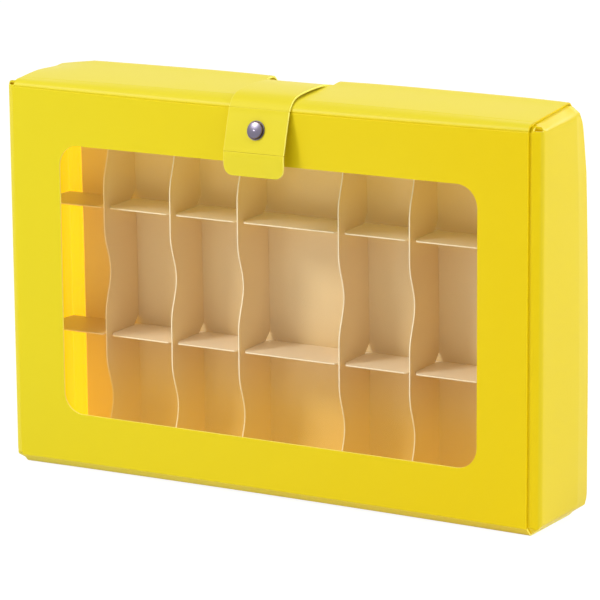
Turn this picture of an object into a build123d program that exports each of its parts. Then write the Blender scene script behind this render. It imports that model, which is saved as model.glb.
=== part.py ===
from build123d import *
import os
from math import atan2, cos, degrees, hypot, pi, sqrt

os.makedirs("parts", exist_ok=True)

# A slim upright display case folded from yellow plastic sheet. A clear window fills
# its hinged front, a frosted grid of 21 compartments stands in its rear half, and a
# snap strap comes over the top. Millimetres, +X right, +Y to the back, +Z up.

# Driving dimensions of the case
case_width = 330.0
case_depth = 62.0
case_height = 221.0
sheet = 1.0
fit = 0.2
panel_gap = 1.6
band_width = 5.0
hinge_height = 5.0
lid_bevel = 7.0
base_fold_radius = 12.0
lid_fold_radius = 10.6
tuck_flap = 18.0
small_bend = 1.5
hinge_clearance = 0.15

# End caps
cap_side_bevel = 2.6
cap_top_bevel = 3.5
cap_base_bevel = 4.3
cap_rear_lean = 1.2
cap_rear_band = 14.0
cap_flange = 4.0
cap_top_corner_radius = 13.0
corner_notch_drop = 5.4
corner_notch_depth = 4.6

# Window
window_base = 32.7
window_top_margin = 37.0
window_side_margin = 29.2
window_corner = 12.0
window_sheet_thickness = 0.4
window_sheet_overlap = 7.0

# Strap and its recess in the lid
strap_width = 37.0
strap_recess_clearance = 2.5
strap_recess_depth = 19.5
strap_recess_corner = 4.0
strap_root_drop = 24.0
strap_rise = 2.0
strap_back_radius = 25.0
strap_front_step = 6.5
strap_front_drop = 5.4
strap_front_radius = 6.0
strap_knee_radius = 4.0
strap_knee_out = 0.2
strap_crease_drop = 7.2
strap_crease_out = 1.8
leg_drop = 23.0
leg_lean = 6.5
tab_length = 12.4
tab_corner = 5.5
strap_slit = 1.0
strap_hinge_clearance = 0.35
back_panel_drop = 12.0

# Snap fastener
snap_drop = 11.2
snap_cap_radius = 5.25
snap_cap_rim = 0.6
snap_cap_face_radius = 4.6
snap_cap_wall = 1.7
snap_cap_height = 2.4
snap_cap_round = 0.5
snap_shank_radius = 1.2
snap_disc = 0.5
snap_socket_radius = 4.8
snap_socket_wall = 1.2
snap_bore_radius = 2.4
snap_stud_flange_radius = 5.0
snap_stud_flange = 0.6
snap_stud_radius = 1.4
snap_stud_length = 2.3
snap_post_disc_radius = 4.5
snap_post_shank_radius = 0.9
snap_post_reach = 1.4
snap_hole_clearance = 0.1

# Divider grid
divider_sheet = 0.7
liner_sheet = 0.5
liner_drop = 22.0
middle_column = 63.2
columns_each_side = 3
side_column_margin = 3.5
shelf_count = 2
shelf_top_margin = 3.8
grid_front = 26.7
shelf_setback = 1.0
scallop_depth = 5.6
scallop_land = 11.5
divider_drop = 22.2
slot_clearance = 0.3
slot_mouth_depth = 5.0
shelf_mouth = 3.0
divider_mouth = 5.0
grid_floor_gap = 0.2
divider_corner_cut = 7.3
scallop_points = 12

# Worked out from the driving dimensions. The front panel's outer face lies this far
# in front of the origin, which is under the middle of the whole case.
strap_reach = strap_crease_out + leg_lean
front_y = (strap_reach - case_depth) / 2
panel_width = case_width - 2 * (band_width + panel_gap)
inner_back = case_depth - sheet - fit
inner_top = case_height - sheet - fit
lid_crease_height = case_height - lid_bevel
window_width = panel_width - 2 * window_side_margin
window_height = case_height - window_base - window_top_margin
back_panel_top = case_height - back_panel_drop
strap_root_height = case_height - strap_root_drop
strap_crease_height = case_height - strap_crease_drop
liner_height = case_height - liner_drop
divider_height = case_height - divider_drop
side_column = (case_width / 2 - middle_column / 2 - side_column_margin) / columns_each_side
shelf_pitch = (case_height - shelf_top_margin) / (shelf_count + 1)
flange_edge = panel_width / 2 - cap_flange
inside_gap = sheet + fit
hinge_bead = sheet / 2

# The case seen from its right side (y, z), from above (x, y) and from the front
# (x, z), with y measured from the front panel's outer face
side_view = Plane(origin=(0, front_y, 0), x_dir=(0, 1, 0), z_dir=(1, 0, 0))
plan_view = Plane(origin=(0, front_y, 0), x_dir=(1, 0, 0), z_dir=(0, 0, 1))
front_view = Plane(origin=(0, front_y, 0), x_dir=(1, 0, 0), z_dir=(0, -1, 0))


# The outline of a sheet that runs along a bent path, thickened to one side
def bent_sheet(points, radii, side):
    with BuildSketch() as outline:
        with BuildLine():
            if radii:
                FilletPolyline(*points, radius=radii)
            else:
                Line(*points)
            offset(amount=sheet, side=side)
        make_face()
    return outline.sketch


# Base wrap: back panel, rounded fold, bottom panel and the sloping front band that
# carries the lid's hinge. The back panel is notched for the root of the strap.
strap_slot = strap_width + 2 * strap_slit
hinge_axis = (hinge_bead, hinge_height)
strap_root = (case_depth - hinge_bead, strap_root_height)
with BuildPart() as base_wrap:
    with BuildSketch(side_view.offset(-panel_width / 2)):
        add(
            bent_sheet(
                [
                    (case_depth, back_panel_top),
                    (case_depth, 0),
                    (hinge_height, 0),
                    (hinge_bead, hinge_height - hinge_bead),
                ],
                [base_fold_radius, small_bend],
                Side.RIGHT,
            )
        )
        with Locations(hinge_axis):
            Circle(hinge_bead + hinge_clearance, mode=Mode.SUBTRACT)
    extrude(amount=panel_width)
    with BuildSketch(front_view.offset(-case_depth)):
        with Locations((0, strap_root_height)):
            Rectangle(
                strap_slot,
                back_panel_top - strap_root_height + sheet,
                align=(Align.CENTER, Align.MIN),
            )
    extrude(amount=2 * sheet, mode=Mode.SUBTRACT)
    with BuildSketch(side_view.offset(-strap_slot / 2)):
        with Locations(strap_root):
            Circle(hinge_bead + strap_hinge_clearance)
    extrude(amount=strap_slot, mode=Mode.SUBTRACT)
base_wrap.part.label = "base_wrap"


# The solid inside an end cap's outer faces, or inside its inner ones when drawn in
# by the sheet: the overlap of its side, plan and front outlines
def cap_block(inset):
    bevel_line = lid_crease_height - (sqrt(2) - 1) * sheet - sqrt(2) * fit
    front_corner = bevel_line + inside_gap - sheet
    top_corner = inner_top - bevel_line + sheet
    foot = hinge_height + sqrt(2) * (sheet + fit)
    block_edge = flange_edge - 2 * cap_flange
    with BuildPart() as block:
        with BuildSketch(side_view):
            with BuildLine():
                FilletPolyline(
                    (inside_gap, front_corner),
                    (top_corner, inner_top),
                    (inner_back, inner_top),
                    (inner_back, inside_gap),
                    (foot - inside_gap, inside_gap),
                    (inside_gap, foot - inside_gap),
                    radius=[0, 0, cap_top_corner_radius, base_fold_radius - inside_gap, 0, 0],
                    close=True,
                )
            make_face()
            offset(amount=-inset)
        extrude(amount=case_width)
        with BuildSketch(plan_view):
            with BuildLine():
                Polyline(
                    (block_edge, inside_gap),
                    (case_width / 2 - band_width, inside_gap),
                    (case_width / 2, inside_gap + cap_side_bevel),
                    (case_width / 2, inner_back - cap_rear_band),
                    (case_width / 2 - cap_rear_lean, inner_back),
                    (block_edge, inner_back),
                    close=True,
                )
            make_face()
            offset(amount=-inset)
        extrude(amount=case_height, mode=Mode.INTERSECT)
        with BuildSketch(front_view.offset(-case_depth)):
            with BuildLine():
                Polyline(
                    (block_edge, inside_gap),
                    (case_width / 2 - band_width - sheet, inside_gap),
                    (case_width / 2, inside_gap + cap_base_bevel),
                    (case_width / 2, inner_top - cap_top_bevel),
                    (case_width / 2 - band_width - sheet, inner_top),
                    (block_edge, inner_top),
                    close=True,
                )
            make_face()
            offset(amount=-inset)
        extrude(amount=case_depth, mode=Mode.INTERSECT)
    return block.part


# Right end cap: the side wall, its sloping bands and the flanges that lie inside the
# lid and the base. Its top front corner is left open, as folded sheet leaves it.
with BuildPart() as right_side:
    add(cap_block(0))
    add(cap_block(sheet), mode=Mode.SUBTRACT)
    split(bisect_by=Plane.YZ.offset(flange_edge), keep=Keep.TOP)
    with BuildSketch(front_view):
        with Locations((case_width / 2 - band_width, inner_top - corner_notch_drop)):
            Rectangle(2 * band_width, 2 * corner_notch_drop, align=Align.MIN)
    extrude(amount=-corner_notch_depth, mode=Mode.SUBTRACT)
right_side.part.label = "right_side"

with BuildPart() as left_side:
    mirror(right_side.part, about=Plane.YZ)
left_side.part.label = "left_side"

# Frosted liner sheet that stands in front of the back panel
grid_back = inner_back - liner_sheet - 3 * fit
with BuildPart() as back_liner:
    with BuildSketch(front_view.offset(-(inner_back - fit))):
        with Locations((0, base_fold_radius)):
            Rectangle(
                2 * flange_edge - 2 * fit,
                liner_height - base_fold_radius,
                align=(Align.CENTER, Align.MIN),
            )
    extrude(amount=liner_sheet)
back_liner.part.label = "back_liner"

# Where the dividers and shelves stand
divider_places = [
    side * (middle_column / 2 + step * side_column)
    for side in (-1, 1)
    for step in range(columns_each_side)
]
divider_places.sort()
shelf_heights = [shelf_pitch * (row + 1) for row in range(shelf_count)]
slot_middle = (grid_front + shelf_setback + grid_back) / 2


# A divider's front edge runs straight past each shelf and is hollowed between them
def scallop(z):
    from_shelf = abs(z - shelf_pitch * round(z / shelf_pitch))
    share = max(from_shelf - scallop_land, 0) / (shelf_pitch / 2 - scallop_land)
    return grid_front + scallop_depth / 2 * (1 - cos(pi * share))


def divider(place, name):
    foot = inside_gap + grid_floor_gap - fit
    rows = round((divider_height - foot) / shelf_pitch * scallop_points)
    heights = [foot + (divider_height - foot) * step / rows for step in range(rows + 1)]
    with BuildPart() as piece:
        with BuildSketch(side_view.offset(place - divider_sheet / 2)):
            with BuildLine():
                wave = Spline(*[(scallop(z), z) for z in heights])
                Polyline(
                    wave @ 1,
                    (grid_back, divider_height),
                    (grid_back, foot + divider_corner_cut),
                    (grid_back - divider_corner_cut, foot),
                    wave @ 0,
                )
            make_face()
            for z in shelf_heights:
                slot = (divider_sheet + slot_clearance) / 2
                with BuildLine():
                    Polyline(
                        (slot_middle - fit, z - slot),
                        (slot_middle - fit, z + slot),
                        (grid_back - slot_mouth_depth, z + slot),
                        (grid_back, z + slot + divider_mouth),
                        (grid_back + sheet, z + slot + divider_mouth),
                        (grid_back + sheet, z - slot - divider_mouth),
                        (grid_back, z - slot - divider_mouth),
                        (grid_back - slot_mouth_depth, z - slot),
                        close=True,
                    )
                make_face(mode=Mode.SUBTRACT)
        extrude(amount=divider_sheet)
    piece.part.label = name
    return piece.part


# A shelf runs from side to side, and its slots open to the front
def shelf(height, name):
    half = case_width / 2 - sheet - fit
    front = grid_front + shelf_setback
    rear_lean = cap_rear_lean + fit
    with BuildPart() as piece:
        with BuildSketch(plan_view.offset(height - divider_sheet / 2)):
            with BuildLine():
                Polyline(
                    (-half, front),
                    (-half, inner_back - cap_rear_band),
                    (-half + rear_lean, grid_back),
                    (half - rear_lean, grid_back),
                    (half, inner_back - cap_rear_band),
                    (half, front),
                    close=True,
                )
            make_face()
            for x in divider_places:
                slot = (divider_sheet + slot_clearance) / 2
                with BuildLine():
                    Polyline(
                        (x - slot, slot_middle + fit),
                        (x + slot, slot_middle + fit),
                        (x + slot, front + slot_mouth_depth),
                        (x + slot + shelf_mouth, front),
                        (x + slot + shelf_mouth, front - sheet),
                        (x - slot - shelf_mouth, front - sheet),
                        (x - slot - shelf_mouth, front),
                        (x - slot, front + slot_mouth_depth),
                        close=True,
                    )
                make_face(mode=Mode.SUBTRACT)
        extrude(amount=divider_sheet)
    piece.part.label = name
    return piece.part


dividers = [divider(x, f"divider_{n + 1}") for n, x in enumerate(divider_places)]
shelves = [shelf(z, f"shelf_{n + 1}") for n, z in enumerate(shelf_heights)]

# Lid: front panel, bevelled top fold, top panel, rounded rear fold and tuck flap in
# one bent sheet, with the window, the strap recess and the snap's rivet hole cut
recess_width = strap_width + 2 * strap_recess_clearance
flap_back = inner_back - fit
recess_front = case_depth - strap_recess_depth


# The point on the strap's leg where the snap sits, and the frames along its outward
# normal and its inward one
leg_length = hypot(leg_lean, leg_drop)
leg_tilt = atan2(leg_lean, leg_drop)
snap_share = snap_drop / leg_length
snap_y = front_y - strap_crease_out - leg_lean * snap_share
snap_z = strap_crease_height - leg_drop * snap_share
leg_out = Vector(0, -leg_drop, leg_lean).normalized()
snap_centre = Vector(0, snap_y, snap_z)
snap_section = Plane(
    origin=snap_centre, x_dir=(1, 0, 0), z_dir=Vector(1, 0, 0).cross(leg_out)
)
socket_depth = sheet + snap_disc + snap_socket_wall
stud_height = (snap_centre - leg_out * socket_depth).Z
stud_section = Plane(
    origin=(0, front_y, stud_height), x_dir=(1, 0, 0), z_dir=(0, 0, -1)
)

with BuildPart() as lid_panel:
    with BuildSketch(side_view.offset(-panel_width / 2)):
        add(
            bent_sheet(
                [
                    (0, hinge_height),
                    (0, lid_crease_height),
                    (lid_bevel, case_height),
                    (flap_back, case_height),
                    (flap_back, case_height - tuck_flap),
                ],
                [small_bend, small_bend, lid_fold_radius],
                Side.RIGHT,
            )
        )
        with Locations(hinge_axis):
            Circle(hinge_bead)
    extrude(amount=panel_width)
    with BuildSketch(front_view):
        with Locations((0, window_base + window_height / 2)):
            RectangleRounded(window_width, window_height, window_corner)
    extrude(amount=-2 * sheet, mode=Mode.SUBTRACT)
    with BuildSketch(plan_view.offset(case_height)):
        with Locations((0, recess_front)):
            Rectangle(recess_width, case_depth, align=(Align.CENTER, Align.MIN))
        fillet(
            [v for v in vertices() if v.Y < front_y + recess_front + fit],
            radius=strap_recess_corner,
        )
    extrude(amount=-(tuck_flap + sheet), mode=Mode.SUBTRACT)
    with BuildSketch(front_view.offset(-case_depth)):
        for side in (-1, 1):
            with Locations((side * panel_width / 2, case_height - cap_top_bevel)):
                Rectangle(2 * (cap_flange + 2 * fit), tuck_flap, align=(Align.CENTER, Align.MAX))
    extrude(amount=lid_fold_radius + base_fold_radius, mode=Mode.SUBTRACT)
    with BuildSketch(front_view):
        with Locations((0, stud_height)):
            Circle(snap_post_shank_radius + snap_hole_clearance)
    extrude(amount=-2 * sheet, mode=Mode.SUBTRACT)
lid_panel.part.label = "lid_panel"

with BuildPart() as window_sheet:
    with BuildSketch(front_view.offset(-sheet)):
        with Locations((0, window_base + window_height / 2)):
            RectangleRounded(
                window_width + 2 * window_sheet_overlap,
                window_height + 2 * window_sheet_overlap,
                window_corner / 2,
            )
    extrude(amount=-window_sheet_thickness)
window_sheet.part.label = "window_sheet"

# Strap: the back panel's tongue bends over the top, then a creased leg and a finger
# tab hang in front of the lid
knee = (-strap_knee_out, case_height + strap_rise - strap_front_drop)
strap_crease = (-strap_crease_out, strap_crease_height)
leg_foot = (-strap_crease_out - leg_lean, strap_crease_height - leg_drop)


# A hinge bead's centre lies under the sheet's outer face, square to it
def under_face(point, run_y, run_z):
    length = hypot(run_y, run_z)
    return (point[0] + hinge_bead * run_z / length, point[1] - hinge_bead * run_y / length)


leg_bead = under_face(strap_crease, leg_lean, leg_drop)
tab_bead = under_face(leg_foot, 0, 1)

with BuildPart() as strap_top:
    with BuildSketch(side_view.offset(-strap_width / 2)):
        add(
            bent_sheet(
                [
                    (case_depth, strap_root_height),
                    (case_depth, case_height + strap_rise),
                    (strap_front_step, case_height + strap_rise),
                    knee,
                    strap_crease,
                ],
                [strap_back_radius, strap_front_radius, strap_knee_radius],
                Side.LEFT,
            )
        )
        with Locations(strap_root):
            Circle(hinge_bead)
        with Locations(leg_bead):
            Circle(hinge_bead + strap_hinge_clearance, mode=Mode.SUBTRACT)
    extrude(amount=strap_width)
strap_top.part.label = "strap_top"

with BuildPart() as strap_leg:
    with BuildSketch(side_view.offset(-strap_width / 2)):
        add(bent_sheet([strap_crease, leg_foot], [], Side.LEFT))
        with Locations(leg_bead):
            Circle(hinge_bead)
        with Locations(tab_bead):
            Circle(hinge_bead + strap_hinge_clearance, mode=Mode.SUBTRACT)
    extrude(amount=strap_width)
    with BuildSketch(Plane(origin=snap_centre, x_dir=(1, 0, 0), z_dir=leg_out)):
        Circle(snap_shank_radius + snap_hole_clearance)
    extrude(amount=-2 * sheet, mode=Mode.SUBTRACT)
strap_leg.part.label = "strap_leg"

with BuildPart() as strap_tab:
    with BuildSketch(front_view.offset(-leg_foot[0] - sheet)):
        with Locations((0, leg_foot[1])):
            Rectangle(strap_width, tab_length, align=(Align.CENTER, Align.MAX))
        fillet(
            [v for v in vertices() if v.Z < leg_foot[1] - tab_length / 2],
            radius=tab_corner,
        )
    extrude(amount=sheet)
    with BuildSketch(side_view.offset(-strap_width / 2)):
        with Locations(tab_bead):
            Circle(hinge_bead)
    extrude(amount=strap_width)
strap_tab.part.label = "strap_tab"

# Snap fastener, turned about its own axis. Heights run outward from the sheet's face.
leg_axis = Axis(snap_centre, leg_out)
stud_axis = Axis((0, front_y, stud_height), (0, -1, 0))
dome_height = snap_cap_height - snap_cap_wall
dome_radius = (snap_cap_face_radius**2 + dome_height**2) / (2 * dome_height)

with BuildPart() as snap_cap:
    with BuildSketch(snap_section):
        with BuildLine():
            RadiusArc((snap_cap_face_radius, snap_cap_wall), (0, snap_cap_height), -dome_radius)
            Polyline(
                (0, snap_cap_height),
                (0, -sheet - snap_disc),
                (snap_shank_radius, -sheet - snap_disc),
                (snap_shank_radius, 0),
                (snap_cap_radius, 0),
                (snap_cap_radius, snap_cap_rim),
                (snap_cap_face_radius, snap_cap_rim),
                (snap_cap_face_radius, snap_cap_wall),
            )
        make_face()
    revolve(axis=leg_axis)
    fillet(
        [
            e
            for e in edges().filter_by(GeomType.CIRCLE)
            if abs((e.arc_center - snap_centre).dot(leg_out) - snap_cap_wall) < snap_cap_round / 2
        ],
        radius=snap_cap_round,
    )
snap_cap.part.label = "snap_cap"

with BuildPart() as snap_socket:
    with BuildSketch(snap_section):
        with BuildLine():
            Polyline(
                (snap_shank_radius, -sheet),
                (snap_socket_radius, -sheet),
                (snap_socket_radius, -socket_depth),
                (snap_bore_radius, -socket_depth),
                (snap_bore_radius, -sheet - snap_disc),
                (snap_shank_radius, -sheet - snap_disc),
                close=True,
            )
        make_face()
    revolve(axis=leg_axis)
snap_socket.part.label = "snap_socket"

with BuildPart() as snap_stud:
    with BuildSketch(stud_section):
        with BuildLine():
            Polyline(
                (snap_post_shank_radius, 0),
                (snap_stud_flange_radius, 0),
                (snap_stud_flange_radius, snap_stud_flange),
                (snap_stud_radius, snap_stud_flange),
                (snap_stud_radius, snap_stud_flange + snap_stud_length),
                (0, snap_stud_flange + snap_stud_length),
                (0, snap_post_reach),
                (snap_post_shank_radius, snap_post_reach),
                close=True,
            )
        make_face()
    revolve(axis=stud_axis)
    fillet(edges().group_by(Axis.Y)[0], radius=snap_stud_radius / 3)
snap_stud.part.label = "snap_stud"

with BuildPart() as snap_post:
    with BuildSketch(stud_section):
        with BuildLine():
            Polyline(
                (0, snap_post_reach),
                (snap_post_shank_radius, snap_post_reach),
                (snap_post_shank_radius, -sheet),
                (snap_post_disc_radius, -sheet),
                (snap_post_disc_radius, -sheet - snap_disc),
                (0, -sheet - snap_disc),
                close=True,
            )
        make_face()
    revolve(axis=stud_axis)
snap_post.part.label = "snap_post"

pieces = [
    base_wrap.part,
    left_side.part,
    right_side.part,
    back_liner.part,
    *dividers,
    *shelves,
    lid_panel.part,
    window_sheet.part,
    snap_stud.part,
    snap_post.part,
    strap_top.part,
    strap_leg.part,
    strap_tab.part,
    snap_cap.part,
    snap_socket.part,
]
for piece in pieces:
    export_step(piece, f"parts/{piece.label}.step")

print("front panel's outer face at y", round(front_y, 3))
print("lid hinge axis", round(front_y + hinge_axis[0], 3), hinge_axis[1])
print("strap root axis", round(front_y + strap_root[0], 3), strap_root[1])
print("leg crease axis", round(front_y + leg_bead[0], 3), round(leg_bead[1], 3))
print("tab crease axis", round(front_y + tab_bead[0], 3), round(tab_bead[1], 3))
print("dividers at", [round(x, 2) for x in divider_places])
print("leg leans", round(degrees(leg_tilt), 2), "degrees, stud at z", round(stud_height, 2))
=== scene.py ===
import math

import bmesh
import bpy
from mathutils import Matrix, Vector
from mathutils.bvhtree import BVHTree


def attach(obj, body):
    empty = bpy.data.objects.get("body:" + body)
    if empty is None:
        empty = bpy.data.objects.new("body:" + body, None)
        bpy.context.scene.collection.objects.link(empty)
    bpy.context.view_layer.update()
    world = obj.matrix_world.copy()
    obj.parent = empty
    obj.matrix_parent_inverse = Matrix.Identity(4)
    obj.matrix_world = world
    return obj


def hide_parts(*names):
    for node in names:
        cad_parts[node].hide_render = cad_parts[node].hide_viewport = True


# Slim yellow divided case with a clear window and a snap strap, dressed for its picture.
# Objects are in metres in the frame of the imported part. Sheets are bent and the strap is
# drawn in millimetres, with depths counted from the front panel's face.
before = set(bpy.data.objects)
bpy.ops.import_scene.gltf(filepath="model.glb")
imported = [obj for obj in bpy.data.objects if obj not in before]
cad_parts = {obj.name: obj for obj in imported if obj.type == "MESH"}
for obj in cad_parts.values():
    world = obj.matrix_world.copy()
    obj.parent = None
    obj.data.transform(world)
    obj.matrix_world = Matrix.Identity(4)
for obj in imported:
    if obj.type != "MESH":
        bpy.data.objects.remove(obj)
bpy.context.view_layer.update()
mm = 0.001
print("frame loaded,", len(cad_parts), "nodes")


class Wire:
    # a node's output, so that shader maths reads as a plain expression
    def __init__(self, paint, socket):
        self.paint, self.socket = paint, socket

    def maths(self, operation, *values):
        return self.paint.node("ShaderNodeMath", {"operation": operation}, dict(enumerate(values)))

    def __add__(self, other):
        return self.maths("ADD", self, other)

    def __mul__(self, other):
        return self.maths("MULTIPLY", self, other)

    def __sub__(self, other):
        return self.maths("SUBTRACT", self, other)

    def __rsub__(self, other):
        return self.maths("SUBTRACT", other, self)

    def __truediv__(self, other):
        return self.maths("DIVIDE", self, other)

    def __pow__(self, other):
        return self.maths("POWER", self, other)

    __radd__, __rmul__ = __add__, __mul__

    def absolute(self):
        return self.maths("ABSOLUTE", self)

    def clamp(self):
        return self.maths("MINIMUM", self.maths("MAXIMUM", self, 0.0), 1.0)

    def beside(self, name):
        # another output of the same node
        return Wire(self.paint, self.socket.node.outputs[name])


class Paint:
    # a material's or a world's node tree
    def __init__(self, holder):
        holder.use_nodes = True
        self.tree = holder.node_tree
        self.tree.nodes.clear()

    def node(self, kind, settings=None, sockets=None, output=0):
        made = self.tree.nodes.new(kind)
        for key, value in (settings or {}).items():
            setattr(made, key, value)
        for key, value in (sockets or {}).items():
            socket = made.inputs[key]
            if isinstance(value, Wire):
                self.tree.links.new(value.socket, socket)
            else:
                socket.default_value = value
        return Wire(self, made.outputs[output]) if made.outputs else None

    def mix(self, factor, a, b):
        return self.node("ShaderNodeMix", {"data_type": "RGBA"}, {0: factor, 6: a, 7: b}, 2)

    def place(self, kind="Object"):
        return self.node("ShaderNodeTexCoord", {}, {}, kind)

    def split(self, vector, axis="X"):
        return self.node("ShaderNodeSeparateXYZ", {}, {0: vector}, axis)

    def marked(self, name):
        return self.node("ShaderNodeAttribute", {"attribute_name": name}, {}, "Fac")

    def noise(self, place, scale, detail=3.0, rough=0.5):
        sockets = {"Vector": place, "Scale": scale, "Detail": detail, "Roughness": rough}
        return self.node("ShaderNodeTexNoise", {"noise_dimensions": "3D"}, sockets)

    def bump(self, height, strength, distance):
        sockets = {"Height": height, "Strength": strength, "Distance": distance}
        return self.node("ShaderNodeBump", {}, sockets)


def colour(red, green, blue):
    # a colour as the picture shows it, 0 to 255, turned into linear light
    def linear(value):
        value /= 255
        return value / 12.92 if value <= 0.04045 else ((value + 0.055) / 1.055) ** 2.4

    return (linear(red), linear(green), linear(blue), 1.0)


def finish(name, surface):
    material = bpy.data.materials.new(name)
    paint = Paint(material)
    paint.node("ShaderNodeOutputMaterial", {}, {"Surface": surface(paint)})
    return material


black = (0, 0, 0, 1)
white = (1, 1, 1, 1)

# matt yellow sheet: places and runs are in metres, scales per metre
yellow = {
    # lemon and golden: the paler lemon towards the left is painted sheen
    "lemon": colour(223, 206, 30),
    "golden": colour(230, 201, 1),
    "blend": 3.0,
    "blendCloud": 0.12,
    # side: the right side wall's paler colour is painted sheen
    "side": colour(224, 201, 32),
    "sideFrom": 0.1632,
    "sideRun": 0.001,
    # the pale colour and its runs: a painted sheen on the top and the strap leg
    "paleSheen": colour(223, 208, 50),
    "sheenFrom": 0.2132,
    "sheenRun": 0.002,
    "sheenHalf": 0.1582,
    "sheenShare": 0.8,
    "sheenCloud": 0.4,
    "strapFrom": 0.0275,
    "edgeRun": 0.0004,
    # edge: the pale colour of cut edges, a painted highlight
    "edge": colour(255, 246, 120),
    "roughness": 0.36,
    "roughCloud": 0.08,
    "specular": 0.15,
    "mottle": 28.0,
    "grain": 2600.0,
    "grainStrength": 0.12,
    "grainDepth": 0.0001,
    # glow and its strengths: a painted glow on the faces inside the case
    "glow": colour(255, 218, 0),
    "through": 0.56,
    "leftGlow": 1.0,
    "rightGlow": 0.35,
    "wallGlow": 0.38,
}


def yellowSurface(paint):
    place = paint.place()
    cloud = paint.noise(place, yellow["mottle"], 4.0, 0.6)
    grain = paint.noise(place, yellow["grain"], 2.0, 0.6)
    across = paint.split(place)
    inward, upward = across.beside("Y"), across.beside("Z")
    # lemon on the left runs into golden on the right: the paler lemon is painted sheen, and the right
    # side wall is paler with painted sheen
    blend = (across * yellow["blend"] + 0.5 + yellow["blendCloud"] * (cloud - 0.5)).clamp()
    base = paint.mix(blend, yellow["lemon"], yellow["golden"])
    sideSheen = ((across - yellow["sideFrom"]) / yellow["sideRun"]).clamp()
    base = paint.mix(sideSheen, base, yellow["side"])
    # the top and the strap are paler: a painted sheen
    onLid = ((yellow["sheenHalf"] - across.absolute()) / yellow["edgeRun"]).clamp()
    top = ((upward - yellow["sheenFrom"]) / yellow["sheenRun"]).clamp() * onLid
    strapLeg = ((-1.0 * inward - yellow["strapFrom"]) / yellow["edgeRun"]).clamp()
    sheenShare = yellow["sheenShare"] + yellow["sheenCloud"] * (cloud - 0.5)
    base = paint.mix((top + strapLeg).clamp() * sheenShare, base, yellow["paleSheen"])
    # cut edges get a pale colour, a painted highlight
    base = paint.mix(paint.marked("cutEdge"), base, yellow["edge"])
    height = grain + 0.6 * cloud
    # the faces marked inside get a painted glow as emission
    return paint.node(
        "ShaderNodeBsdfPrincipled",
        {},
        {
            "Base Color": base,
            "Roughness": yellow["roughness"] + yellow["roughCloud"] * (cloud - 0.5),
            "Specular IOR Level": yellow["specular"],
            "Emission Color": paint.mix(paint.marked("inside"), black, yellow["glow"]),
            "Emission Strength": yellow["through"],
            "Normal": paint.bump(height, yellow["grainStrength"], yellow["grainDepth"]),
        },
    )


# frosted sheet of the grid; its colours are partly painted with the warm light inside the case
frosted = {
    "base": colour(242, 214, 156),
    "cloud": colour(214, 178, 128),
    "cloudScale": 40.0,
    "cloudShare": 0.12,
    "litShelfTop": colour(250, 232, 200),
    # warm and through: painted warm light and a painted glow near the floor and top
    "warm": colour(244, 207, 128),
    "through": (0.066, 0.068, 0.014, 1),
    "topFrom": 0.132,
    "lowTo": 0.068,
    "warmRun": 0.034,
    # shaded: painted shade on the shelves beside the left wall
    "shaded": colour(205, 172, 92),
    "shadedShare": 0.8,
    "shadedTo": -0.122,
    # dimEdge and dimEdgeTo: the painted edge highlight is dimmed towards the left wall, painted shade
    "dimEdge": 0.3,
    "dimEdgeTo": -0.11,
    "leftRun": 0.004,
    # edge: the pale colour of cut edges, a painted highlight
    "edge": colour(255, 240, 205),
    "roughness": 0.38,
    "roughCloud": 0.06,
    "specular": 0.4,
    "grain": 3000.0,
    "grainStrength": 0.08,
    "grainDepth": 0.0001,
}


def frostedSurface(paint):
    place = paint.place()
    cloud = paint.noise(place, frosted["cloudScale"])
    grain = paint.noise(place, frosted["grain"], 2.0)
    facingUp = paint.split(paint.place("Normal"), "Z").clamp()
    across = paint.split(place)
    upward = across.beside("Z")
    base = paint.mix(cloud * frosted["cloudShare"], frosted["base"], frosted["cloud"])
    # painted light: a warmer colour and a painted glow stand in for the light that comes through the
    # yellow floor and top onto the sheets near them
    high = ((upward - frosted["topFrom"]) / frosted["warmRun"]).clamp()
    low = ((frosted["lowTo"] - upward) / frosted["warmRun"]).clamp()
    near = (high + low).clamp()
    base = paint.mix(near, base, frosted["warm"])
    # faces that look up are paler: painted light from above
    base = paint.mix(facingUp, base, frosted["litShelfTop"])
    # painted shade: the shelves beside the left wall are duller and yellower, and the cut edges there
    # keep less of their painted highlight
    shade = ((frosted["shadedTo"] - across) / frosted["leftRun"]).clamp() * facingUp
    base = paint.mix(shade * frosted["shadedShare"], base, frosted["shaded"])
    # cut edges get a pale colour, a painted highlight, dimmed towards the left wall
    lit = frosted["dimEdge"] + ((across - frosted["dimEdgeTo"]) / frosted["leftRun"]).clamp()
    base = paint.mix(paint.marked("cutEdge") * lit.clamp(), base, frosted["edge"])
    return paint.node(
        "ShaderNodeBsdfPrincipled",
        {},
        {
            "Base Color": base,
            "Roughness": frosted["roughness"] + frosted["roughCloud"] * cloud,
            "Specular IOR Level": frosted["specular"],
            "Emission Color": paint.mix(near, black, frosted["through"]),
            "Emission Strength": 1.0,
            "Normal": paint.bump(grain, frosted["grainStrength"], frosted["grainDepth"]),
        },
    )


# clear film with a soft, faint shine
film = {"shine": 0.2, "roughness": 0.26, "smear": 0.05, "smearScale": 14.0, "index": 1.45}


def filmSurface(paint):
    smear = paint.noise(paint.place(), film["smearScale"])
    clear = paint.node("ShaderNodeBsdfTransparent", {}, {"Color": white})
    gloss = paint.node(
        "ShaderNodeBsdfPrincipled",
        {},
        {
            "Base Color": white,
            "Metallic": 1.0,
            "Roughness": film["roughness"] + film["smear"] * smear,
        },
    )
    shine = paint.node("ShaderNodeFresnel", {}, {"IOR": film["index"]}) * film["shine"]
    return paint.node("ShaderNodeMixShader", {}, {0: shine, 1: clear, 2: gloss})


# polished snap, its centre and ring of painted shade in millimetres
steel = {
    "base": colour(118, 112, 128),
    "roughness": 0.28,
    "scuff": 0.1,
    "scuffScale": 900.0,
    "scuffStrength": 0.05,
    "scuffDepth": 0.00005,
    "groove": colour(96, 78, 58),
    "grooveShade": 0.8,
    "centre": (0, -31.7, 203.0),
    "ring": 4.75,
    "ringWidth": 0.35,
}


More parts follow.
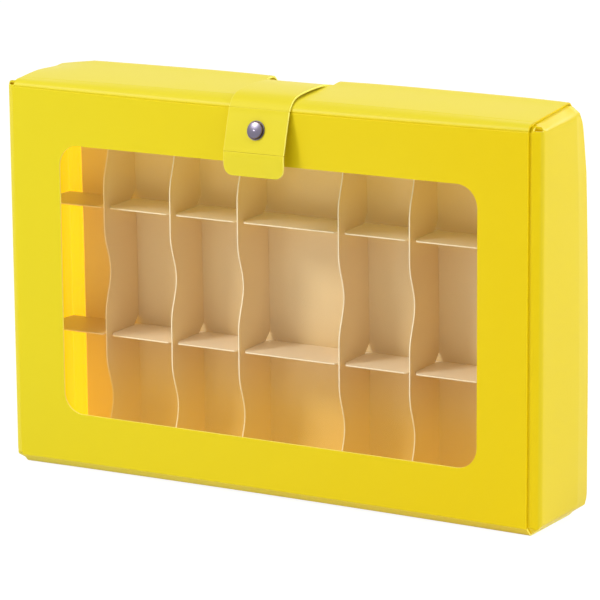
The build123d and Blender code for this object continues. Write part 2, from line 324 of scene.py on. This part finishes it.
def steelSurface(paint):
    place = paint.place()
    scuff = paint.noise(place, steel["scuffScale"])
    # painted shade: a darker ring in the groove between the cap's flange and its face
    away = paint.node(
        "ShaderNodeVectorMath",
        {"operation": "DISTANCE"},
        {0: place, 1: Vector(steel["centre"]) * mm},
        "Value",
    )
    grooveShade = (1 - ((away / mm - steel["ring"]) / steel["ringWidth"]) ** 2.0).clamp()
    return paint.node(
        "ShaderNodeBsdfPrincipled",
        {},
        {
            "Base Color": paint.mix(grooveShade * steel["grooveShade"], steel["base"], steel["groove"]),
            "Metallic": 1.0,
            "Roughness": steel["roughness"] + steel["scuff"] * scuff,
            "Normal": paint.bump(scuff, steel["scuffStrength"], steel["scuffDepth"]),
        },
    )


yellowSheet = finish("yellow_sheet_matt", yellowSurface)
frostedSheet = finish("frosted_sheet_satin", frostedSurface)
clearFilm = finish("clear_film_glossy", filmSurface)
snapSteel = finish("snap_steel_polished", steelSurface)
print("materials made")


# how the real sheets bow away from flat, in millimetres. A pair is where something
# starts and over how long a run it grows to the full.
front = -26.85
bow = {
    "half": 165.0,
    "lean": 0.00026,
    "leanAbove": 60.0,
    "leanBelow": 196.0,
    "leanSkew": 0.3,
    "leanDepth": (30, 28),
    "arch": 0.9,
    "archBelow": 30.0,
    "press": 1.5,
    "pressEnds": (140, 18),
    "capPress": 2.5,
    "capPressEnds": (158, 5),
    "pressHeight": (184, 34),
    "pressDepth": (36, 20),
}
# the lid: its crown as it really runs by depth and height, and its fold and droops
lid = {
    "half": 158.4,
    "crown": [
        (0, 214.2), (1, 216.3), (2.9, 218), (6.5, 219.1), (12.9, 220), (27.2, 221.5), (42, 222.9),
        (49.5, 223.7), (53, 223.4), (56.2, 220.9), (58.4, 217.2), (60, 213.9),
    ],
    "crownHeight": (212.5, 1.5),
    "bevel": 7.0,
    "top": 221.0,
    "rear": 60.6,
    "backRadius": 10.6,
    "sagHeight": (188, 24),
    "dip": 1.0,
    "dipDepth": (0, 8),
    "droop": 1.0,
    "droopPower": 0.7,
    "leftDroop": 2.4,
    "leftEnd": (138, 22),
    "leftDepth": (20, 28),
    "underStrap": 0.7,
    "underStrapDepth": (10, 30),
    "strapReach": 34.0,
    "grooveHeight": 213.9,
    "groove": 0.4,
    "grooveWidth": 0.16,
    "frontFace": 0.5,
    # the lid's cut edges get the painted highlight only this far out
    "highlightWithin": 150,
}


def ease(value, run):
    share = min(max((value - run[0]) / run[1], 0), 1)
    return share * share * (3 - 2 * share)


def smoothPath(points, fine):
    # a smooth curve through the points, as a dense list of points
    points = [Vector(point) for point in points]
    path = []
    for n in range(len(points) - 1):
        here, there = points[n], points[n + 1]
        before = points[n - 1] if n else here * 2 - there
        after = points[n + 2] if n + 2 < len(points) else there * 2 - here
        for step in range(fine):
            t = step / fine
            path.append(
                here
                + (there - before) * t / 2
                + (2 * before - 5 * here + 4 * there - after) * t**2 / 2
                + (3 * here - before - 3 * there + after) * t**3 / 2
            )
    return path + [points[-1]]


crown = smoothPath(lid["crown"], 6)


def crownRise(y):
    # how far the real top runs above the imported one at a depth
    packed = min(lid["top"] - lid["bevel"] + y, lid["top"])
    pastBend = y - (lid["rear"] - lid["backRadius"])
    if pastBend > 0:
        packed -= lid["backRadius"] - math.sqrt(max(lid["backRadius"] ** 2 - pastBend**2, 0))
    if y >= crown[-1].x:
        return 0.0
    for low, high in zip(crown, crown[1:]):
        if y <= high.x:
            share = max(y - low.x, 0) / max(high.x - low.x, 1e-6)
            return low.y + (high.y - low.y) * share - packed
    return 0.0


def sag(x, y):
    # the fold dips in the middle, and the top droops to its ends and under the strap
    arch = max(1 - (x / lid["half"]) ** 2, 0)
    behind = ease(y, lid["dipDepth"])
    pressed = math.exp(-((x / lid["strapReach"]) ** 2)) * ease(y, lid["underStrapDepth"])
    left = ease(-x, lid["leftEnd"]) * ease(y, lid["leftDepth"])
    dip = lid["dip"] * arch * (1 - behind)
    droop = lid["droop"] * (1 - arch ** lid["droopPower"]) * behind
    return -dip - droop - lid["underStrap"] * pressed - lid["leftDroop"] * left


def pressedIn(x, y, z):
    # how far the rear top corners are pressed forward, most at the very ends
    depth = bow["press"] * ease(abs(x), bow["pressEnds"])
    depth += bow["capPress"] * ease(abs(x), bow["capPressEnds"])
    return depth * ease(z, bow["pressHeight"]) * ease(y, bow["pressDepth"])


def leaned(x, y, z):
    # the back leans in towards its top, and the floor arches a little
    up = max(min(z, bow["leanBelow"]) - bow["leanAbove"], 0)
    skew = 1 - bow["leanSkew"] + bow["leanSkew"] * x / bow["half"]
    lean = bow["lean"] * up * up * skew * ease(y, bow["leanDepth"])
    low = 1 - ease(z, (0, bow["archBelow"]))
    return x, y - lean, z + bow["arch"] * (1 - (x / bow["half"]) ** 2) * low


def lidShape(x, y, z):
    rise = sag(x, y) * ease(z, lid["sagHeight"]) + crownRise(y) * ease(z, lid["crownHeight"])
    if y < lid["frontFace"]:
        away = (z - lid["grooveHeight"]) / lid["grooveWidth"]
        y += lid["groove"] * math.exp(-(away**2))
    return leaned(x, y - pressedIn(x, y, z), z + rise)


# the folds round a cap's side wall: the corner, which way is inward, and how far it rounds
cap = {
    "reach": 2.3,
    "front": ((165, 3.8), (-0.855, 0.519), 0.62),
    "top": ((165, 216.3), (-0.867, -0.498), 0.55),
    "base": ((165, 5.5), (-0.889, 0.457), 0.5),
    "riseHeight": (213, 6),
    "cutAbove": 75,
}


def capShape(x, y, z):
    # the cap's folds are rounded, and its top follows the lid
    out, side = abs(x), math.copysign(1, x)
    for name, across in (("front", y), ("top", z), ("base", z)):
        corner, inward, depth = cap[name]
        near = max(1 - math.hypot(out - corner[0], across - corner[1]) / cap["reach"], 0)
        out += inward[0] * depth * near * near
        if name == "front":
            y += inward[1] * depth * near * near
        else:
            z += inward[1] * depth * near * near
    x = out * side
    rise = (crownRise(y) + sag(x, y)) * ease(z, cap["riseHeight"])
    return leaned(x, y - pressedIn(x, y, z), z + rise)


# the two kinds of sheet, in millimetres: a cut edge has no other side within reach, and
# rim is how much it is rounded
yellowStock = {"material": yellowSheet, "slot": "yellow_sheet", "reach": 1.6, "rim": 0.18}
frostedStock = {"material": frostedSheet, "slot": "frosted_sheet", "reach": 1.2, "rim": 0.12}
# how a sheet is cleaned and shaded, with angles in degrees
sheets = {"merge": 2e-6, "sliver": 1e-6, "flat": 0.3, "cutAbove": 58, "shadeSharp": 35}
# the space inside the case, in millimetres, and how far ahead of a face it is looked for
inside = {"half": 164, "front": 1, "back": 60.5, "floor": 1, "top": 209, "ahead": 3, "sides": 150}


def sheetFrom(
    node, body, stock, shape=leaned, splits=(), cutAbove=sheets["cutAbove"], highlightWithin=math.inf
):
    # a clean copy of a packed sheet, with its cut edges marked and softly rounded, bent
    # to its real shape. Edges sharper than cutAbove are cut ones, and the materials give them
    # a painted highlight, a pale colour, as far out as the given width.
    mesh = bmesh.new()
    mesh.from_mesh(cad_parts[node].data)
    bmesh.ops.remove_doubles(mesh, verts=mesh.verts, dist=sheets["merge"])
    bmesh.ops.dissolve_degenerate(mesh, edges=mesh.edges, dist=sheets["sliver"])
    bmesh.ops.dissolve_limit(
        mesh, angle_limit=math.radians(sheets["flat"]), verts=mesh.verts, edges=mesh.edges
    )
    bmesh.ops.recalc_face_normals(mesh, faces=mesh.faces)
    tree = BVHTree.FromBMesh(mesh)
    cut = mesh.faces.layers.float.new("cutEdge")
    widest = {}
    for corners in mesh.calc_loop_triangles():
        a, b, c = (corner.vert.co for corner in corners)
        area = (b - a).cross(c - a).length
        if area > widest.get(corners[0].face, (0, None))[0]:
            widest[corners[0].face] = (area, (a + b + c) / 3)
    for face, (area, middle) in widest.items():
        hit = tree.ray_cast(middle - face.normal * 1e-5, -face.normal)
        pale = abs(middle.x) < highlightWithin * mm
        face[cut] = 1.0 if pale and (hit[0] is None or hit[3] > stock["reach"] * mm) else 0.0
    sharp = [
        edge
        for edge in mesh.edges
        if len(edge.link_faces) == 2 and edge.calc_face_angle(0) > math.radians(cutAbove)
    ]
    rounded = bmesh.ops.bevel(
        mesh, geom=sharp, offset=stock["rim"] * mm, segments=2, profile=0.5,
        affect="EDGES", clamp_overlap=True,
    )
    # the rounded rims get the painted highlight as well
    for face in rounded["faces"]:
        face[cut] = 1.0 if abs(face.calc_center_median().x) < highlightWithin * mm else 0.0
    bmesh.ops.triangulate(mesh, faces=mesh.faces)
    for point, normal in splits:
        every = mesh.verts[:] + mesh.edges[:] + mesh.faces[:]
        bmesh.ops.bisect_plane(
            mesh, geom=every, dist=sheets["sliver"], plane_co=point, plane_no=normal
        )
    # faces that look into the case are marked for a painted glow, which stands in for the light
    # outside coming through the sheet
    inner = mesh.faces.layers.float.new("inside")
    for face in mesh.faces:
        x, y, z = (face.calc_center_median() + face.normal * inside["ahead"] * mm) / mm
        deep = inside["front"] < y - front < inside["back"]
        if abs(x) < inside["half"] and deep and inside["floor"] < z < inside["top"]:
            face[inner] = yellow["wallGlow"]
            if abs(x) > inside["sides"]:
                face[inner] = yellow["leftGlow"] if x < 0 else yellow["rightGlow"]
    for vertex in mesh.verts:
        x, y, z = vertex.co / mm
        x, y, z = shape(x, y - front, z)
        vertex.co = Vector((x, y + front, z)) * mm
    settle(mesh, node, body, stock)


def settle(mesh, node, body, stock):
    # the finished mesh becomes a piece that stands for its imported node
    name = node + "_sheet"
    data = bpy.data.meshes.new(name)
    mesh.to_mesh(data)
    mesh.free()
    data.shade_smooth()
    data.set_sharp_from_angle(angle=math.radians(sheets["shadeSharp"]))
    piece = bpy.data.objects.new(name, data)
    bpy.context.scene.collection.objects.link(piece)
    data.materials.append(stock["material"])
    weighted = piece.modifiers.new("weighted", "WEIGHTED_NORMAL")
    weighted.keep_sharp, weighted.weight = True, 100
    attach(piece, body)
    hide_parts(node)


def cutsAt(axis, places):
    # planes square to one axis, where a mesh is given more edges
    normal = Vector([1.0 if n == axis else 0.0 for n in range(3)])
    shift = front if axis == 1 else 0.0
    return [(normal * (place + shift) * mm, normal) for place in places]


def steps(first, last, gap):
    return [first + gap * n for n in range(int((last - first) / gap + 1.001))]


# where the sheets get more edges, in millimetres, closest together at the folds
lidCuts = (
    cutsAt(0, steps(-150, 150, 12.5))
    + cutsAt(1, [0.3, 0.6, 0.9, 1.3, 1.8, 2.4, 3.1, 4, 5, 6, 8, 10, 12.5, 16, 20, 25, 31, 37, 43, 47])
    + cutsAt(1, [50, 51.5, 53, 54.5, 56, 57, 58, 59, 60])
    + cutsAt(2, [190, 196, 202, 206, 209, 211, 212.5, 213.2, 213.6, 213.78, 213.9, 214.02, 214.2])
)
backCuts = cutsAt(2, steps(65, 215, 10)) + cutsAt(1, steps(30, 60, 6)) + cutsAt(2, [8, 16, 24])
wideCuts = cutsAt(0, steps(-150, 150, 25))
foldSteps = (0.35, 0.8, 1.4, 2.2)
capCuts = (
    cutsAt(0, [side * (cap["front"][0][0] - step) for step in foldSteps for side in (-1, 1)])
    + cutsAt(1, [cap["front"][0][1] + step for step in foldSteps] + [2, 8, 12, 18, 48, 53, 56])
    + cutsAt(2, [cap["top"][0][1] - step for step in foldSteps] + [217.5, 219])
    + cutsAt(2, [cap["base"][0][1] + step for step in foldSteps])
)
sheetFrom("lid_panel", "lid", yellowStock, lidShape, lidCuts + backCuts, highlightWithin=lid["highlightWithin"])
sheetFrom("base_wrap", "case", yellowStock, leaned, backCuts + wideCuts)
for side in ("left_side", "right_side"):
    sheetFrom(side, "case", yellowStock, capShape, backCuts + capCuts, cap["cutAbove"])

# the strap's outer face from its root on the back, over the top and down to its tab, in
# millimetres by depth and height, with turns in degrees
strap = {
    "half": 18.5,
    "thick": 1.0,
    "rim": 0.2,
    "rimTurns": (90, 60, 30, 0),
    "gap": 0.55,
    "corner": 5.5,
    "step": 0.9,
    "fine": 4,
    "beadTurns": (82, 60, 40, 20),
    "tongueTurns": (75, 60, 45, 32, 20, 10),
    "tipShare": 0.6,
    "within": (31, 200),
    "top": [
        (62, 197), (62, 200), (61.3, 204.6), (59.3, 209.6), (56, 214), (51.6, 218), (47, 220.8),
        (42, 222.4), (36.5, 223), (30.5, 223.2), (25, 223.1), (18.4, 222.7), (12.5, 222.15),
        (9, 221.65), (6.4, 221.05), (4.5, 220.3), (2.9, 219.4), (1.5, 218.2), (0.4, 216.9),
        (-0.6, 215.5), (-1.3, 214.55), (-1.8, 213.8),
    ],
    "leg": [
        (-1.8, 213.8), (-2.3, 211.6), (-3.25, 208.5), (-4.1, 205.5), (-4.95, 202.6),
        (-5.9, 199.2), (-6.9, 195.4), (-7.85, 192), (-8.15, 190.8),
    ],
    "tab": [(-8.15, 190.8), (-8.3, 189.2), (-8.3, 186), (-8.3, 182), (-8.3, 178.4)],
}


def strip(node, body, outer, tail):
    # one length of the strap: a bead at its start, and a groove for the next bead or a
    # rounded tongue at its tail
    thick, half, rim, corner = strap["thick"], strap["half"], strap["rim"], strap["corner"]
    path = smoothPath(outer, strap["fine"])
    reach = [0.0]
    for low, high in zip(path, path[1:]):
        reach.append(reach[-1] + (high - low).length)
    # along the strip: how far, how wide and what share of the thickness
    stations = []
    for turn in strap["beadTurns"]:
        angle = math.radians(turn)
        stations.append((-thick / 2 * math.sin(angle), half, math.cos(angle)))
    last = reach[-1] - (strap["gap"] if tail == "groove" else corner)
    count = round(last / strap["step"])
    stations += [(last * n / count, half, 1.0) for n in range(count + 1)]
    if tail == "tongue":
        for turn in strap["tongueTurns"]:
            angle = math.radians(turn)
            wide = half - corner + corner * math.sin(angle)
            stations.append((last + corner * math.cos(angle), wide, 1.0))
        stations.append((reach[-1], half - corner, strap["tipShare"]))
    mesh = bmesh.new()
    cut = mesh.faces.layers.float.new("cutEdge")
    around = []
    for face in (1, -1):
        for turn in strap["rimTurns"][::face]:
            angle = math.radians(turn) * face
            out = face * (thick / 2 - rim) + rim * math.sin(angle)
            around.append((rim * math.cos(angle) - rim, out))
    rows = []
    for s, wide, share in stations:
        n = max(n for n in range(len(path) - 1) if reach[n] <= max(s, 0) or n == 0)
        along = (path[n + 1] - path[n]).normalized()
        run = along
        if 0 < n and s - reach[n] < (reach[n + 1] - reach[n]) / 2:
            run = (path[n + 1] - path[n - 1]).normalized()
        normal = Vector((run.y, -run.x))
        if normal.dot(path[n] - Vector(strap["within"])) < 0:
            normal = -normal
        middle = path[n] + along * (s - reach[n]) - normal * thick / 2
        ring = [(wide + x, out * share) for x, out in around]
        ring += [(-x, out) for x, out in reversed(ring)]
        row = []
        for x, out in ring:
            x, y, z = leaned(x, *(middle + normal * out))
            row.append(mesh.verts.new(Vector((x, y + front, z)) * mm))
        rows.append(row)
    count = len(rows[0])
    # the strap's rims are marked as cut edges, which get the painted highlight
    for index, (low, high) in enumerate(zip(rows, rows[1:])):
        for n in range(count):
            face = mesh.faces.new((low[n], low[(n + 1) % count], high[(n + 1) % count], high[n]))
            flat = n in (count // 2 - 1, count - 1)
            face[cut] = 0.0 if flat or index < len(strap["beadTurns"]) else 1.0
    for row in (rows[0], rows[-1]):
        mesh.faces.new(row)[cut] = 1.0 if tail == "tongue" and row is rows[-1] else 0.0
    bmesh.ops.recalc_face_normals(mesh, faces=mesh.faces)
    settle(mesh, node, body, yellowStock)


strip("strap_top", "strap", strap["top"], "groove")
strip("strap_leg", "leg", strap["leg"], "groove")
strip("strap_tab", "tab", strap["tab"], "tongue")
print("yellow sheets made")

shelves = ["shelf_1", "shelf_2"]
for node in ["back_liner"] + ["divider_%d" % n for n in range(1, 7)] + shelves:
    sheetFrom(node, "case", frostedStock, leaned, [] if node in shelves else backCuts)
print("grid made")

dressed = {"window_sheet": clearFilm}
dressed.update({node: snapSteel for node in ("snap_cap", "snap_socket", "snap_stud", "snap_post")})
for node, material in dressed.items():
    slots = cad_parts[node].data.materials
    slots.clear()
    slots.append(material)
print("window and snap dressed")

# soft lamps in metres and watts: place, what it aims at, width and length, power
lamps = {
    "key_softbox": ((-1.15, -1.45, 1.55), (0, 0, 0.1), (0.6, 0.6), 25.5),
    "fill_softbox": ((1.5, 0.1, 0.8), (0, 0, 0.1), (0.9, 1.2), 11.5),
    "top_softbox": ((-0.15, -0.65, 1.8), (0, 0, 0.1), (0.5, 0.4), 6.5),
    "back_softbox": ((0.5, 1.7, 1.1), (0, 0, 0.1), (1.2, 0.9), 16),
    "low_card": ((-0.145, -0.32, 0.045), (0.03, -0.02, 0.115), (0.05, 0.05), 0.045),
}
for name, (place, aim, size, power) in lamps.items():
    lamp = bpy.data.lights.new(name, "AREA")
    lamp.shape, lamp.size, lamp.size_y = "RECTANGLE", size[0], size[1]
    lamp.energy = power
    holder = bpy.data.objects.new(name, lamp)
    bpy.context.scene.collection.objects.link(holder)
    holder.location = place
    holder.visible_camera = False
    holder.rotation_euler = (Vector(aim) - Vector(place)).to_track_quat("-Z", "Y").to_euler()

# the white world and the pale floor, which show white to the camera and in reflections
room = {
    "ambient": 0.4,
    "seen": 1.0,
    "floorHalf": 6.0,
    "floorDrop": 0.0002,
    "floorMatt": (0.9, 0.9, 0.9, 1),
    "floorGlow": 1.14,
    "floorSeen": 0.8,
}


def seenRays(paint):
    eye = paint.node("ShaderNodeLightPath", {}, {}, "Is Camera Ray")
    return (eye + eye.beside("Is Glossy Ray") + eye.beside("Is Transmission Ray")).clamp()


world = bpy.data.worlds.new("studio")
bpy.context.scene.world = world
sky = Paint(world)
ambient = sky.node("ShaderNodeBackground", {}, {"Color": white, "Strength": room["ambient"]})
backdrop = sky.node("ShaderNodeBackground", {}, {"Color": white, "Strength": room["seen"]})
both = sky.node("ShaderNodeMixShader", {}, {0: seenRays(sky), 1: ambient, 2: backdrop})
sky.node("ShaderNodeOutputWorld", {}, {"Surface": both})


def floorSurface(paint):
    matt = paint.node("ShaderNodeBsdfDiffuse", {}, {"Color": room["floorMatt"]})
    glow = paint.node("ShaderNodeEmission", {}, {"Color": white, "Strength": room["floorGlow"]})
    share = seenRays(paint) * room["floorSeen"]
    return paint.node("ShaderNodeMixShader", {}, {0: share, 1: matt, 2: glow})


half = room["floorHalf"]
floorData = bpy.data.meshes.new("floor")
floorData.from_pydata(
    [(-half, -half, 0), (half, -half, 0), (half, half, 0), (-half, half, 0)], [], [(0, 1, 2, 3)]
)
floor = bpy.data.objects.new("floor", floorData)
bpy.context.scene.collection.objects.link(floor)
floor.location.z = -room["floorDrop"]
floorData.materials.append(finish("floor_white", floorSurface))

# the camera stands where the photograph was taken: degrees, metres, and millimetres for
# its lens and sensor
shot = {
    "azimuth": 30.411,
    "elevation": 12.568,
    "roll": -0.469,
    "distance": 1.937,
    "target": (0.023199, -0.02685, 0.112824),
    "lens": 218.6,
    "sensor": 36.0,
    "clip": (0.05, 50),
}
turn, rise, roll = (math.radians(shot[key]) for key in ("azimuth", "elevation", "roll"))
back = Vector((math.sin(turn) * math.cos(rise), -math.cos(turn) * math.cos(rise), math.sin(rise)))
right = Vector((math.cos(turn), math.sin(turn), 0))
up = back.cross(right)
rightRolled = right * math.cos(roll) + up * math.sin(roll)
upRolled = up * math.cos(roll) - right * math.sin(roll)
cameraData = bpy.data.cameras.new("camera")
cameraData.lens, cameraData.sensor_width = shot["lens"], shot["sensor"]
cameraData.clip_start, cameraData.clip_end = shot["clip"]
camera = bpy.data.objects.new("camera", cameraData)
bpy.context.scene.collection.objects.link(camera)
turned = Matrix((rightRolled, upRolled, back)).transposed().to_4x4()
camera.matrix_world = Matrix.Translation(Vector(shot["target"]) + back * shot["distance"]) @ turned
bpy.context.scene.camera = camera
bpy.context.scene.view_settings.view_transform = "Standard"
print("room and camera placed")
